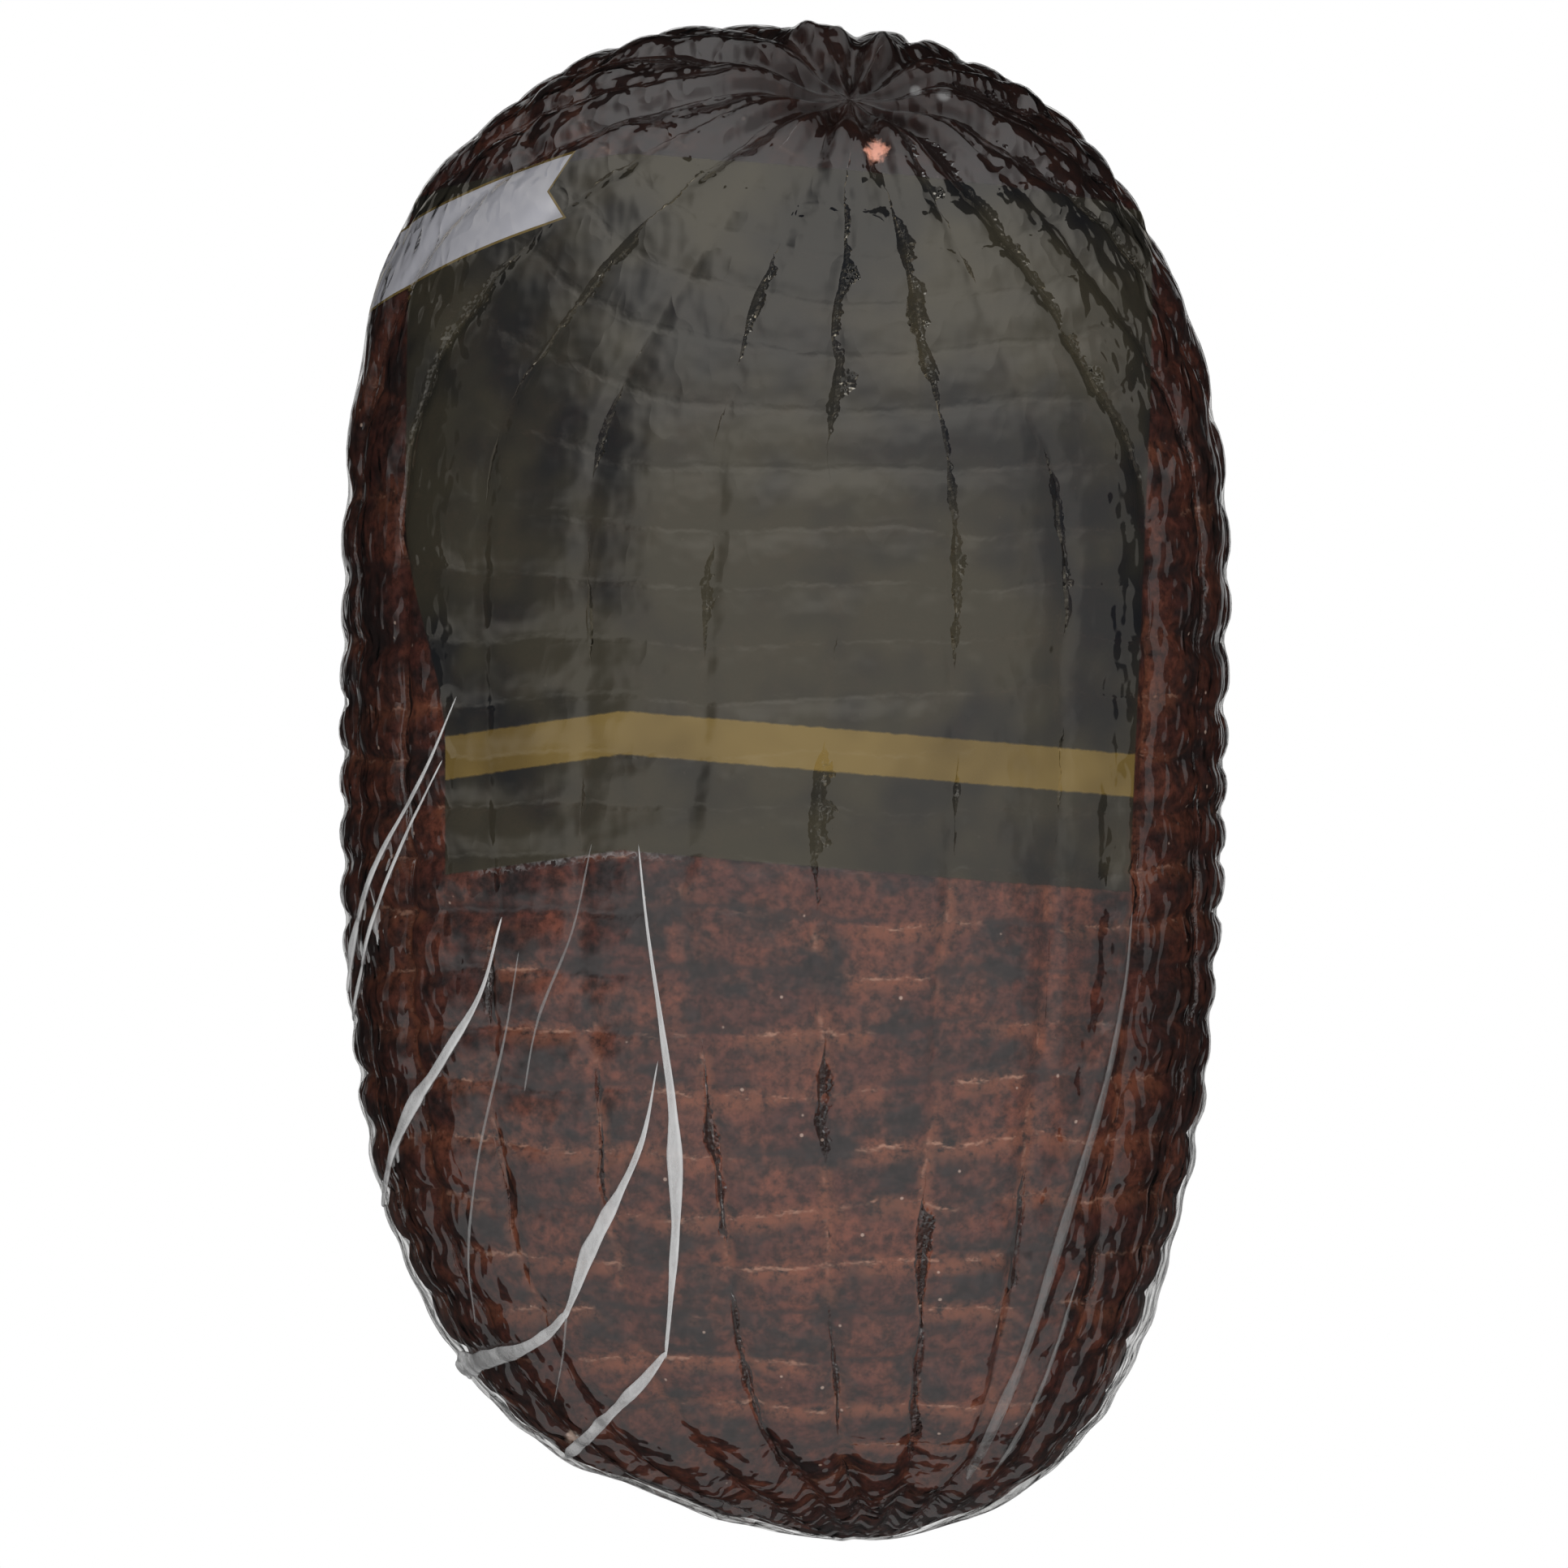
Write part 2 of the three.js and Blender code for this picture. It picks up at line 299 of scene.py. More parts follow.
def unevenness_mm():
    """The fuller shoulders, the knuckles of the gather, the side's dents and the leaner round end."""
    away = FROM_ROUND_END_MM
    leaner = -END_LEANER_MM * smoothstep(away, 4, 26) * (1 - smoothstep(away, 36, 66))
    swellings = FULL_SHOULDERS + GATHER_KNUCKLES + SIDE_DENTS
    return sum((swelling_mm(*swelling) for swelling in swellings), leaner)


def slid(field, down, right):
    """The field moved by some rows and columns. Its rows end, and its columns go round."""
    moved = np.roll(field, right, axis=1)
    index = np.clip(np.arange(field.shape[0]) - down, 0, field.shape[0] - 1)
    return moved[index]


def widest_of(field, pick, steps):
    """pick is np.maximum or np.minimum, taken over some steps to every side."""
    wide = field
    for right in range(-steps, steps + 1):
        wide = pick(wide, slid(field, 0, right))
    tall = wide
    for down in range(-steps, steps + 1):
        tall = pick(tall, slid(wide, down, 0))
    return tall


def blurred(field):
    field = (field + slid(field, 0, 1) + slid(field, 0, -1)) / 3
    return (field + slid(field, 1, 0) + slid(field, -1, 0)) / 3


def slack_mm():
    """How far the film stands off the meat round the lower rim of the round end."""
    level = (POINTS[..., 2] - WIDEST_Z) / MM
    rim = SLACK_AT_RIM_MM * np.exp(-(level / SLACK_BAND_MM) ** 2)
    return rim * (1 - smoothstep(FROM_ROUND_END_MM, 95, 150)) * smoothstep(FROM_ROUND_END_MM, 0, 20)


def stretched_over_mm(relief):
    """Tight film over a relief: it bridges the narrow grooves and dips part of the way in."""
    cling = CLING_ON_TOP + CLING_MORE_AT_SIDES * SIDEWAYS - CLING_LOST_TO_SLACK * SLACK_MM
    bridged = widest_of(relief, np.maximum, BRIDGED_STEPS)
    bridged = widest_of(bridged, np.minimum, BRIDGED_STEPS)
    return blurred(bridged * (1 - cling) + relief * cling)


def soft_fold_mm():
    """One long rounded fold of the film, with a hollow beside it."""
    sideways = np.full(POINTS.shape[:2], 99.0)
    for x, y in smooth_route(SOFT_FOLD, 80):
        offset = np.hypot(POINTS[..., 0] / MM - x, POINTS[..., 1] / MM - y)
        signed = np.where(POINTS[..., 0] / MM > x, offset, -offset)
        sideways = np.where(offset < np.abs(sideways), signed, sideways)
    above = smoothstep(POINTS[..., 2], WIDEST_Z, WIDEST_Z + 20 * MM)
    crest, hollow = np.exp(-(sideways / 1.9) ** 2), np.exp(-((sideways + 3.6) / 1.6) ** 2)
    return above * (SOFT_FOLD_MM * crest - SOFT_FOLD_MM * hollow)


SLACK_MM = slack_mm()
RELIEF_MM = ham_relief_mm() + gather_folds_mm() + round_end_folds_mm() + unevenness_mm()
HAM_MM = RELIEF_MM - HAM_GAP_MM - SLACK_MM
STRETCHED_MM = stretched_over_mm(RELIEF_MM) + swelling_mm(*AIR_UNDER_FILM) + soft_fold_mm()
FILM_MM = np.maximum(STRETCHED_MM, HAM_MM + FILM_CLEARANCE_MM)

# The widest cracks, in shares of a line's pitch, along the lines and in the folds of the gather.
LINE_CRACK = 0.075
GATHER_CRACK = 0.15


def crack_widths():
    """How wide the cracks on the net's lines are, in shares of a line's pitch."""
    line, ring = NET_U * NET_LINES, NET_V * NET_RINGS
    torn = smoothstep(net_noise(44, 18, 31, layers=3), 0.02, 0.95)
    near = 1 - smoothstep(ring, 2.0, 8.5)
    left = smoothstep(line, 4.4, 5.4) * (1 - smoothstep(line, 10.5, 11.5))
    folded = smoothstep(net_noise(22, 5, 35, layers=3), -0.25, 0.45)
    return LINE_CRACK * torn + GATHER_CRACK * near * folded * (1 - 0.85 * left)


def patchiness():
    """Where the net left clearer marks, from 0 to 1."""
    return np.clip(0.5 + 0.42 * net_noise(26, 36, 41, layers=3), 0, 1)


# ---------------------------------------------------------------- meshes

def deselect_all():
    if bpy.context.object and bpy.context.object.mode != "OBJECT":
        bpy.ops.object.mode_set(mode="OBJECT")
    bpy.ops.object.select_all(action="DESELECT")


def select_only(piece):
    deselect_all()
    piece.select_set(True)
    bpy.context.view_layer.objects.active = piece


def vertex_places(piece):
    co = np.zeros(len(piece.data.vertices) * 3)
    piece.data.vertices.foreach_get("co", co)
    return co.reshape(-1, 3)


def net_round():
    """A round of the net's columns and rows, with each point's row and column."""
    deselect_all()
    bpy.ops.mesh.primitive_uv_sphere_add(segments=COLUMNS, ring_count=ROWS, radius=1)
    piece = bpy.context.object
    co = vertex_places(piece)
    turn = np.mod(np.arctan2(co[:, 1], co[:, 0]) / (2 * math.pi), 1)
    column = np.round(turn * COLUMNS).astype(int) % COLUMNS
    row = np.round(np.arccos(np.clip(co[:, 2], -1, 1)) / math.pi * ROWS).astype(int)
    return piece, row, column


def own_copy(piece):
    select_only(piece)
    bpy.ops.object.duplicate(linked=False)
    return bpy.context.object


def face_outwards(piece):
    select_only(piece)
    bpy.ops.object.mode_set(mode="EDIT")
    bpy.ops.mesh.select_all(action="SELECT")
    bpy.ops.mesh.normals_make_consistent(inside=False)
    bpy.ops.object.mode_set(mode="OBJECT")
    bpy.ops.object.shade_smooth()


def drop_uvs(piece):
    while piece.data.uv_layers:
        piece.data.uv_layers.remove(piece.data.uv_layers[0])


def write_uv(piece, name, u, v, seam=None):
    """A UV map from one u and v for each vertex. A face over the seam stays in one piece."""
    mesh = piece.data
    corner = np.zeros(len(mesh.loops), int)
    mesh.loops.foreach_get("vertex_index", corner)
    starts = np.zeros(len(mesh.polygons), int)
    totals = np.zeros(len(mesh.polygons), int)
    mesh.polygons.foreach_get("loop_start", starts)
    mesh.polygons.foreach_get("loop_total", totals)
    loop_u, loop_v = u[corner].copy(), v[corner]
    if seam:
        face = np.repeat(np.arange(len(starts)), totals)
        top = np.full(len(starts), -1e9)
        np.maximum.at(top, face, loop_u)
        loop_u = np.where(top[face] - loop_u > seam / 2, loop_u + seam, loop_u)
    layer = mesh.uv_layers.get(name) or mesh.uv_layers.new(name=name)
    layer.data.foreach_set("uv", np.stack([loop_u, loop_v], axis=1).ravel().astype(np.float32))


def shaped_body(name, piece, row, column, height_mm, lowest):
    """A closed skin over the ham's smooth shape, pressed flat where it would pass below lowest."""
    piece.name = piece.data.name = name
    place = POINTS + NORMALS * (height_mm * MM)[..., None]
    place[0] = place[0].mean(axis=0)
    place[-1] = place[-1].mean(axis=0)
    place[..., 2] = np.maximum(place[..., 2], lowest)
    piece.data.vertices.foreach_set("co", place[row, column].ravel())
    drop_uvs(piece)
    write_uv(piece, "net", LINES[row, column], RINGS[row, column], seam=NET_LINES)
    write_uv(piece, "stand", SLACK_MM[row, column], SIDEWAYS[row, column])
    write_uv(piece, "marks", crack_widths()[row, column], patchiness()[row, column])
    piece.data.update()
    face_outwards(piece)
    return piece


# ---------------------------------------------------------------- shader helpers

class Shader:
    """The node tree of a material or a world, with short calls for the nodes it is made of."""

    def __init__(self, owner, output="ShaderNodeOutputMaterial"):
        self.owner = owner
        owner.use_nodes = True
        self.tree = owner.node_tree
        self.tree.nodes.clear()
        self.out = self.tree.nodes.new(output)

    def node(self, kind, values=None, **settings):
        made = self.tree.nodes.new(kind)
        for key, value in settings.items():
            setattr(made, key, value)
        for key, value in (values or {}).items():
            self.put(made.inputs[key], value)
        return made

    def put(self, socket, value):
        if isinstance(value, bpy.types.NodeSocket):
            self.tree.links.new(value, socket)
        else:
            socket.default_value = value

    def math(self, operation, *values, clamp=False):
        """One operation on the first two values, then on its result and the next."""
        made = self.node("ShaderNodeMath", operation=operation, use_clamp=clamp)
        for socket, value in zip(made.inputs, values[:2]):
            self.put(socket, value)
        if values[2:]:
            return self.math(operation, made.outputs[0], *values[2:], clamp=clamp)
        return made.outputs[0]

    def plus(self, *values):
        return self.math("ADD", *values)

    def times(self, *values):
        return self.math("MULTIPLY", *values)

    def minus(self, value, taken, clamp=False):
        return self.math("SUBTRACT", value, taken, clamp=clamp)

    def rest(self, share):
        """What a share leaves of 1."""
        return self.minus(1.0, share)

    def amount(self, value):
        return self.math("ABSOLUTE", value)

    def larger(self, first, second):
        return self.math("MAXIMUM", first, second)

    def centred(self, noise, width):
        """Noise from 0 to 1 made to swing evenly round 0, over a width."""
        return self.times(self.minus(noise, 0.5), width)

    def mix(self, factor, first, second, blend="MIX"):
        made = self.node("ShaderNodeMix", data_type="RGBA", blend_type=blend)
        for index, value in ((0, factor), (6, first), (7, second)):
            self.put(made.inputs[index], value)
        return made.outputs[2]

    def paint(self, colour, over, mask, strength):
        """A colour laid over another one where the mask is, as strongly as told."""
        return self.mix(self.times(mask, strength), colour, over)

    def blend(self, factor, first, second):
        made = self.node("ShaderNodeMixShader")
        for index, value in enumerate((factor, first, second)):
            self.put(made.inputs[index], value)
        return made.outputs[0]

    def step(self, value, low, high):
        """0 below low and 1 above high, and smooth between."""
        made = self.node("ShaderNodeMapRange", interpolation_type="SMOOTHSTEP")
        for index, given in enumerate((value, low, high, 0.0, 1.0)):
            self.put(made.inputs[index], given)
        return made.outputs[0]

    def noise(self, vector, scale, detail, roughness, distortion=0.0):
        made = self.node("ShaderNodeTexNoise", {
            "Vector": vector, "Scale": scale, "Detail": detail,
            "Roughness": roughness, "Distortion": distortion})
        return made.outputs["Fac"]

    def mapped(self, vector, scale=(1, 1, 1), location=(0, 0, 0), rotation=(0, 0, 0)):
        made = self.node("ShaderNodeMapping", {
            "Vector": vector, "Scale": scale, "Location": location, "Rotation": rotation})
        return made.outputs[0]

    def bump(self, height, strength, distance):
        made = self.node("ShaderNodeBump", {
            "Height": height, "Strength": strength, "Distance": distance})
        return made.outputs[0]

    def diffuse(self, colour):
        return self.node("ShaderNodeBsdfDiffuse", {"Color": colour}).outputs[0]

    def object_place(self):
        return self.node("ShaderNodeTexCoord").outputs["Object"]

    def uv(self, name):
        """The two values that a UV map carries."""
        return self.split(self.node("ShaderNodeUVMap", uv_map=name).outputs[0])[:2]

    def split(self, vector):
        return self.node("ShaderNodeSeparateXYZ", {0: vector}).outputs

    def facing(self, vector, direction):
        """How nearly a vector points in a direction, 1 being exactly."""
        made = self.node("ShaderNodeVectorMath", operation="DOT_PRODUCT")
        self.put(made.inputs[0], vector)
        self.put(made.inputs[1], tuple(Vector(direction).normalized()))
        return made.outputs["Value"]

    def choose(self, factor, first, second):
        made = self.node("ShaderNodeMix", data_type="FLOAT")
        for index, value in ((0, factor), (2, first), (3, second)):
            self.put(made.inputs[index], value)
        return made.outputs[0]

    def finish(self, surface):
        self.tree.links.new(surface, self.out.inputs["Surface"])
        return self.owner


def new_material(name):
    return Shader(bpy.data.materials.new(name))


def grey(value):
    return (value, value, value, 1)


# ---------------------------------------------------------------- the ham

SLATE = (0.017, 0.011, 0.011, 1)
MAROON = (0.062, 0.018, 0.013, 1)
RED_BROWN = (0.125, 0.036, 0.020, 1)
ORANGE = (0.215, 0.068, 0.032, 1)
PALE_SCAR = (0.42, 0.225, 0.155, 1)
# Near-black used as painted shade: in the cracks, at the ham's sides and round the gather.
PAINTED_SHADE_BLACK = (0.009, 0.003, 0.002, 1)
FAT_WHITE = (0.60, 0.44, 0.36, 1)
RIND_PINK = (0.90, 0.42, 0.30, 1)

# How strongly each mark shows, from 0 to 1.
PATCH_STRENGTH = 0.85
SPECKLE_STRENGTH = 0.9
# The orange is partly the net's thinner smoke and, beside the rings, partly a painted highlight.
ORANGE_AND_LIT_EDGE_STRENGTH = 0.60
# The strength of the painted shade beside each ring.
SHADE_STRENGTH = 0.62
SCAR_STRENGTH = 0.62
# The strength of the painted shade in the cracks on the net's lines.
CRACK_SHADE_STRENGTH = 0.94
# The strength of the painted shade at the ham's sides.
SIDE_SHADE_STRENGTH = 0.42
# The strength of the painted shade in the deep folds round the gather.
GATHER_SHADE_STRENGTH = 0.88
FLECK_STRENGTH = 0.5
SPOT_STRENGTH = 0.9

CLOUD_STRETCH = 0.72  # a ring's pitch in the clouds' pattern, in pitches of a line
CRACK_SOFTNESS = 0.010
FLECK_SPACING, FLECK_SIZE, FLECK_SHARE = 4 * MM, 0.5 * MM, 0.14

# Single spots: their places across and along, and their radius, in millimetres.
RIND_FLECK = (19, 130, 2.6)
FAT_SPOT = (-44, -136, 2.0)


def from_nearest(s, value):
    """Offset from the nearest whole number, from -0.5 to 0.5."""
    return s.minus(value, s.math("ROUND", value))


def ridge(s, offset, middle, width):
    """1 at the middle, falling to 0 at the width to each side."""
    return s.rest(s.step(s.amount(s.minus(offset, middle)), 0.0, width))


def rolled_net(s, ring_pitch):
    """The net's coordinates rolled up, so that a pattern closes. One unit is a line's pitch."""
    line, ring = s.uv("net")
    turn = s.times(line, 2 * math.pi / NET_LINES)
    radius = NET_LINES / (2 * math.pi)
    return s.node("ShaderNodeCombineXYZ", {
        0: s.times(s.math("COSINE", turn), radius),
        1: s.times(s.math("SINE", turn), radius),
        2: s.times(ring, ring_pitch)}).outputs[0]


def near_gather(s):
    """1 at the gathered end, falling to 0 where its folds run out."""
    return s.rest(s.step(s.uv("net")[1], 2.0, 8.5))


def net_offsets(s, place):
    """Offsets from the nearest line and ring, wandering so they aren't ruled, and how they wander."""
    line, ring = s.uv("net")
    wander = s.minus(s.noise(place, 150, 3, 0.70), 0.5)
    sway = s.plus(0.09, s.times(near_gather(s), 0.26))
    return (from_nearest(s, s.plus(line, s.times(wander, sway))),
            from_nearest(s, s.plus(ring, s.times(wander, 0.26))), wander)


def crack_depth(s, line_offset, wander):
    """How deep inside a crack on a net line a place is, in shares of a line's pitch."""
    width = s.times(s.uv("marks")[0], s.plus(0.9, s.times(wander, 4.0)))
    return s.larger(s.minus(width, s.amount(line_offset)), 0.0)


def flecks(s, place, spacing, size, share):
    """Small round spots in a share of the cells of a loose pattern."""
    cells = s.node("ShaderNodeTexVoronoi", {"Vector": place, "Scale": 1 / spacing})
    chosen = s.math("GREATER_THAN", s.split(cells.outputs["Color"])[0], 1 - share)
    edge = s.step(cells.outputs["Distance"], size / spacing * 0.5, size / spacing)
    return s.times(chosen, s.rest(edge))


def lone_spot(s, place, spot_mm, ragged=0.5):
    """One spot on the upper side, at a place seen from above. Noise given as ragged tears its edge."""
    x, y, z = s.split(place)
    across, along, radius = (value * MM for value in spot_mm)
    away = s.plus(s.math("POWER", s.minus(x, across), 2.0), s.math("POWER", s.minus(y, along), 2.0))
    away = s.plus(s.math("SQRT", away), s.centred(ragged, 2.2 * radius))
    spot = s.rest(s.step(away, 0.4 * radius, 1.05 * radius))
    return s.times(spot, s.math("GREATER_THAN", z, WIDEST_Z))


def smoked_ground(s, place, mottle):
    """Slate and maroon clouds with red-brown patches, all finely mottled."""
    clouds = s.noise(rolled_net(s, CLOUD_STRETCH), 1.9, 3, 0.66)
    colour = s.mix(s.step(clouds, 0.38, 0.62), SLATE, MAROON)
    patches = s.step(s.noise(place, 80, 3, 0.70), 0.42, 0.70)
    colour = s.paint(colour, RED_BROWN, patches, PATCH_STRENGTH)
    speckle = s.mix(s.step(mottle, 0.30, 0.70), grey(0.28), grey(1.62))
    return s.mix(SPECKLE_STRENGTH, colour, speckle, blend="MULTIPLY")


def with_net_marks(s, place, mottle, colour):
    """Pale scars and orange along the net's rings and lines, where it thinned the smoke. Beside each
    ring the orange is also a painted lit edge, with painted shade on the ring's other side, and the
    cracks on the lines hold painted shade.
    """
    line, ring, wander = net_offsets(s, place)
    ring = s.plus(ring, s.centred(mottle, 0.16))
    patchy = s.uv("marks")[1]
    before_end = s.step(s.uv("net")[1], NET_RINGS - 1.5, NET_RINGS - 5.0)
    # Orange where the net thinned the smoke. Beside each ring it is also a painted highlight, the lit
    # side of the ring's ledge.
    orange_and_lit_edge = s.larger(s.times(ridge(s, ring, 0.10, 0.30), s.step(patchy, 0.42, 0.66)),
                    s.times(ridge(s, line, 0.0, 0.12), s.step(patchy, 0.36, 0.60)))
    orange_and_lit_edge = s.times(orange_and_lit_edge, s.step(mottle, 0.28, 0.60), before_end)
    colour = s.paint(colour, ORANGE, orange_and_lit_edge, ORANGE_AND_LIT_EDGE_STRENGTH)
    # Painted shade: a slate band on one side of each ring, where the ring's ledge would be in shade.
    shaded = s.times(ridge(s, ring, -0.06, 0.13), s.step(patchy, 0.62, 0.40))
    colour = s.paint(colour, SLATE, shaded, SHADE_STRENGTH)
    torn = s.step(s.noise(s.mapped(place, (0.6, 1.5, 1)), 260, 3, 0.76), 0.47, 0.64)
    scar = s.larger(ridge(s, ring, 0.03, 0.055), s.times(ridge(s, line, 0.02, 0.03), 0.5))
    scar = s.times(scar, s.times(torn, s.step(patchy, 0.40, 0.62)), before_end)
    colour = s.paint(colour, PALE_SCAR, scar, SCAR_STRENGTH)
    # Painted shade: near-black inside the cracks on the net's lines.
    crack = s.step(crack_depth(s, line, wander), 0.0, CRACK_SOFTNESS)
    return s.paint(colour, PAINTED_SHADE_BLACK, crack, CRACK_SHADE_STRENGTH)


def ham_skin_material():
    """Dark smoked skin, redder where the net thinned it, with a few pale flecks, and painted shade at
    its sides and round the gather.
    """
    s = new_material("smoked_skin")
    place = s.object_place()
    mottle = s.noise(place, 420, 4, 0.72)
    colour = with_net_marks(s, place, mottle, smoked_ground(s, place, mottle))
    # Painted shade: the ham's sides darkened, as if the light fell mostly from above.
    at_sides = s.step(s.uv("stand")[1], 0.12, 0.55)
    colour = s.paint(colour, PAINTED_SHADE_BLACK, at_sides, SIDE_SHADE_STRENGTH)
    pale = flecks(s, place, FLECK_SPACING, FLECK_SIZE, FLECK_SHARE)
    colour = s.paint(colour, FAT_WHITE, pale, FLECK_STRENGTH)
    # Painted shade: near-black in the deep folds round the gather.
    gathered = s.step(s.uv("net")[1], 7.0, 2.4)
    colour = s.paint(colour, PAINTED_SHADE_BLACK, gathered, GATHER_SHADE_STRENGTH)
    colour = s.paint(colour, RIND_PINK, lone_spot(s, place, RIND_FLECK, mottle), SPOT_STRENGTH)
    colour = s.paint(colour, FAT_WHITE, lone_spot(s, place, FAT_SPOT, mottle), SPOT_STRENGTH)
    skin = s.node("ShaderNodeBsdfPrincipled", {
        "Base Color": colour, "Roughness": 0.45, "Specular IOR Level": 0.1})
    return s.finish(skin.outputs[0])


def make_ham(blank, row, column):
    lowest = BAG_LOW.z + HAM_GAP_MM * MM
    ham = shaped_body("ham", own_copy(blank), row, column, HAM_MM, lowest)
    ham.data.materials.clear()
    ham.data.materials.append(ham_skin_material())
    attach(ham, "root")
    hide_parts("ham")


# ---------------------------------------------------------------- the bag's print

# The printed panel and its gold band: where they lie along the ham, at the bend of their level
# lines, and across it.
PANEL_FOOT, PANEL_HEAD = -13.5 * MM, 129.5 * MM
BAND_FOOT, BAND_HEAD = 6.0 * MM, 14.8 * MM
PANEL_LEFT, PANEL_RIGHT = -69.5 * MM, 71.0 * MM
PANEL_BEND_X = -33 * MM
BEND_LEFT, BEND_RIGHT = 0.14, -0.083  # the slopes of its level lines on each side of the bend
WAIST = 8.5 * MM  # how much further left its upper part reaches
WAIST_FROM, WAIST_TO = 8 * MM, 55 * MM
RIGHT_EDGE_LEAN = 0.045
RIGHT_EDGE_TURN = -20 * MM  # the place along the ham that its right edge leans about
END_SOFTNESS, SIDE_SOFTNESS = 0.25 * MM, 0.0015  # the second is a share of its width

# The ribbon, a white band with a swallow-tailed end that runs off round the ham's side.
RIBBON_END = Vector((-44.5, 123.0, 0)) * MM
RIBBON_TURN = math.radians(16)
RIBBON_HALF = 6.2 * MM
RIBBON_NOTCH = 4.4 * MM
RIBBON_SLANT = 0.43  # how far its end leans along for each step across
RIBBON_ARCH = -2.2  # how it bends away with the square of the length along it
RIBBON_FOOT = WIDEST_Z - 17 * MM  # the height of its other end, round the side
RIBBON_LINE = 0.5 * MM

# The inks, the darker and the worn shade of two of them, and how much of the ham each hides.
PANEL_INK = ((0.010, 0.011, 0.013, 1), (0.037, 0.033, 0.023, 1))
BAND_INK = ((0.10, 0.066, 0.020, 1), (0.16, 0.11, 0.036, 1))
LINE_INK = (0.12, 0.085, 0.03, 1)
RIBBON_INK = (0.34, 0.34, 0.37, 1)
PANEL_COVER, BAND_COVER, RIBBON_COVER = 0.84, 0.93, 0.95


def print_layout(place):
    """Where each point of the film lies on the flat print, which the shrinking pulled askew.

    It is given as a share of the panel's width, from its left edge, and a place along the ham.
    """
    x, y = place[..., 0], place[..., 1]
    from_bend = x - PANEL_BEND_X
    bow = np.where(from_bend > 0, BEND_RIGHT * from_bend, BEND_LEFT * from_bend)
    left = PANEL_LEFT - WAIST * smoothstep(y, WAIST_FROM, WAIST_TO)
    right = PANEL_RIGHT + RIGHT_EDGE_LEAN * (y - RIGHT_EDGE_TURN)
    across = (x - left) / (right - left)
    return across, y - bow


def between(s, value, low, high, softness):
    """1 between two limits and 0 outside them."""
    above_low = s.step(value, low - softness, low + softness)
    return s.times(above_low, s.rest(s.step(value, high - softness, high + softness)))


def print_masks(s, place, ragged):
    """Masks of the dark panel and of the gold band, with slightly worn edges."""
    across, up = s.uv("layout")
    up = s.plus(up, s.centred(ragged, 0.6 * MM))
    inside = between(s, across, 0, 1, SIDE_SOFTNESS)
    inside = s.times(inside, s.math("GREATER_THAN", s.split(place)[2], WIDEST_Z))
    return (s.times(inside, between(s, up, PANEL_FOOT, PANEL_HEAD, END_SOFTNESS)),
            s.times(inside, between(s, up, BAND_FOOT, BAND_HEAD, END_SOFTNESS)))


def ribbon_masks(s, place):
    """Masks of the white ribbon and of the thin gold line beside its notched end."""
    cosine, sine = math.cos(RIBBON_TURN), math.sin(RIBBON_TURN)
    end = Vector((RIBBON_END.x * cosine + RIBBON_END.y * sine,
                  -RIBBON_END.x * sine + RIBBON_END.y * cosine, 0))
    local = s.split(s.mapped(place, location=tuple(-end), rotation=(0, 0, -RIBBON_TURN)))
    sideways = s.minus(local[1], s.times(local[0], local[0], RIBBON_ARCH))
    offset = s.amount(sideways)
    along = s.minus(local[0], s.times(sideways, RIBBON_SLANT))
    notch = s.times(s.rest(s.math("DIVIDE", offset, RIBBON_HALF)), -RIBBON_NOTCH)

    def band(grow):
        sides = s.math("LESS_THAN", offset, RIBBON_HALF + grow)
        notched = s.math("LESS_THAN", along, s.plus(notch, grow))
        foot = s.minus(RIBBON_FOOT - grow, notch)
        return s.times(sides, notched, s.math("GREATER_THAN", s.split(place)[2], foot))

    white = band(0.0)
    return white, s.minus(band(RIBBON_LINE), white, clamp=True)


def film_inks(s, place, ragged):
    """The print's colour and how much of the ham it covers, from 0 to 1."""
    panel, band = print_masks(s, place, ragged)
    white, gold = ribbon_masks(s, place)
    blotch = s.step(s.noise(place, 24, 3, 0.62), 0.36, 0.62)
    ink = s.mix(blotch, *PANEL_INK)
    ink = s.mix(band, ink, s.mix(blotch, *BAND_INK))
    ink = s.mix(gold, ink, LINE_INK)
    ink = s.mix(white, ink, RIBBON_INK)
    cover = s.larger(s.times(panel, PANEL_COVER), s.times(band, BAND_COVER))
    return ink, s.larger(cover, s.times(s.larger(white, gold), RIBBON_COVER))


def worn_foot(s, ragged):
    """The pale torn border below the panel's left part, where its ink has rubbed off."""
    across, up = s.uv("layout")
    low = s.plus(PANEL_FOOT - 1.1 * MM, s.centred(ragged, 7.0 * MM))
    above, below = s.math("GREATER_THAN", up, low), s.math("LESS_THAN", up, PANEL_FOOT + 0.2 * MM)
    border = s.times(above, below, s.step(ragged, 0.36, 0.62))
    left_part = s.times(s.step(across, 0.02, 0.08), s.step(across, 0.40, 0.24))
    return s.times(border, left_part)


# ---------------------------------------------------------------- the bag's film

FILM_SHEEN = 0.13  # seen straight on: both faces of the film and the moist meat together
FILM_TINT = (0.97, 0.97, 0.965, 1)  # of what is seen through it
PRINTED_GLOSS = (1.0, 0.94, 0.82, 1)  # the warmer tint of what the print mirrors
FILM_ROUGHNESS, FOLD_ROUGHNESS, TAIL_ROUGHNESS = 0.025, 0.07, 0.04

# Haze is how much the film is whitened, from 0 to 1.
FILM_HAZE, SLACK_HAZE, WORN_HAZE, DROP_HAZE = 0.007, 0.05, 0.20, 0.22
FILM_WHITE, FOLD_WHITE = 0.6, 0.70

# Pale drops under the film: their places across and along, and their radius, in millimetres.
PALE_DROPS = ((27.3, 143.8, 1.5), (33.1, 142.8, 1.9))

